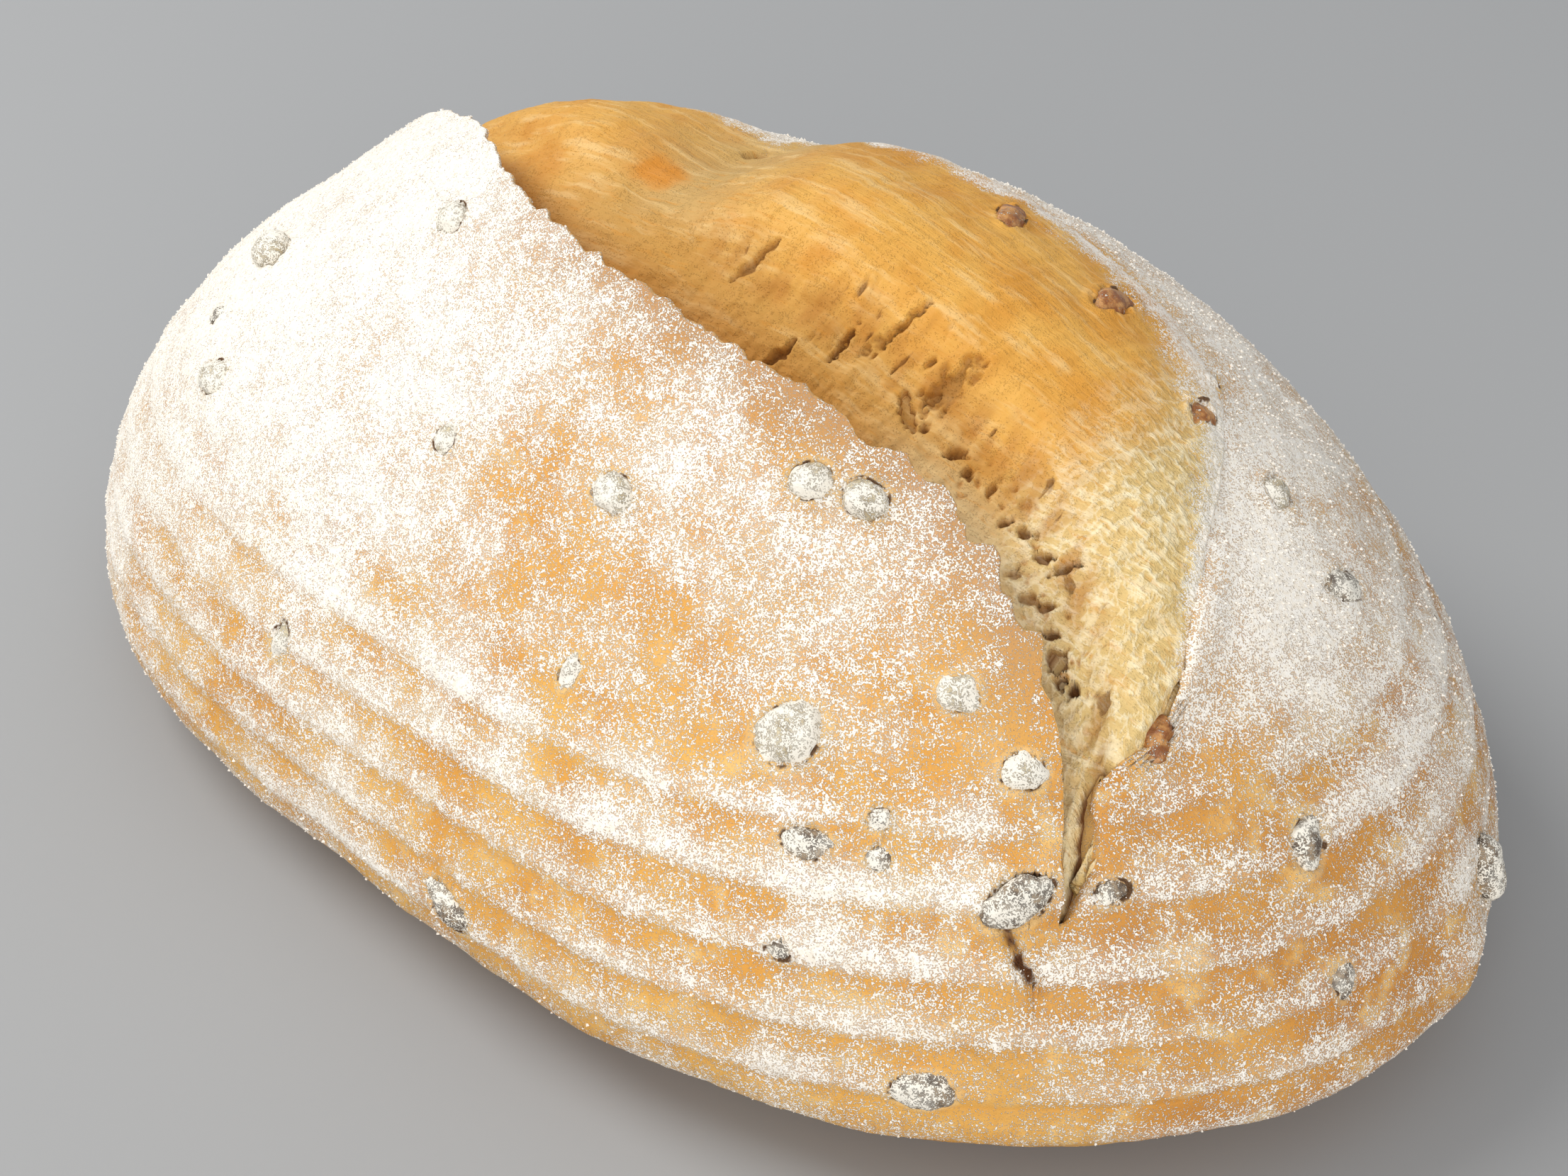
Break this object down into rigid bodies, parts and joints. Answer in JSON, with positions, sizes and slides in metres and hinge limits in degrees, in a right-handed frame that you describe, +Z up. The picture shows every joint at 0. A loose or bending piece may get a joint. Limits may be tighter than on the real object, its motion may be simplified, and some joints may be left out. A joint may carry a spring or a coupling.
{
  "type": "olive sourdough loaf",
  "caption": "Long oval olive sourdough loaf with a flat base, a thin raised ear beside a golden burst bloom, and chopped olives in a flour-dusted crust.",
  "frame": {"origin": "middle of the loaf's box in plan, at the level of its flat base", "axes": "+X along the loaf's length towards the end where the slash runs out, +Y across it away from the ear, +Z up"},
  "size_m": [0.242, 0.1599, 0.0997],
  "materials": {
    "crust": "baked crust under a dusting of flour",
    "crumb": "torn and stretched crumb, gold to cream",
    "flour": "loose flour",
    "olive_floured": "olive flesh under flour",
    "olive_dark": "dark olive skin, lightly floured",
    "olive_amber": "olive baked brown in the bloom"
  },
  "bodies": {
    "root": {"loaf": "crust", "olive_01": "olive_floured", "olive_02": "olive_dark", "olive_03": "olive_floured", "olive_04": "olive_floured", "olive_05": "olive_floured", "olive_06": "olive_floured", "olive_07": "olive_floured", "olive_08": "olive_floured", "olive_09": "olive_floured", "olive_10": "olive_floured", "olive_11": "olive_floured", "olive_12": "olive_floured", "olive_13": "olive_dark", "olive_14": "olive_dark", "olive_15": "olive_dark", "olive_16": "olive_dark", "olive_17": "olive_dark", "olive_18": "olive_dark", "olive_19": "olive_dark", "olive_20": "olive_floured", "olive_21": "olive_dark", "olive_22": "olive_dark", "olive_23": "olive_dark", "olive_24": "olive_dark", "olive_25": "olive_floured", "olive_26": "olive_amber", "olive_27": "olive_amber", "olive_28": "olive_amber", "olive_29": "olive_amber", "olive_30": "olive_amber", "olive_31": "olive_amber", "olive_32": "olive_dark", "olive_33": "olive_floured", "olive_34": "olive_dark", "olive_35": "olive_dark", "olive_36": "olive_floured", "olive_37": "olive_dark", "olive_38": "olive_dark", "olive_39": "olive_floured", "olive_40": "olive_dark", "olive_41": "olive_dark"}
  },
  "joints": []
}
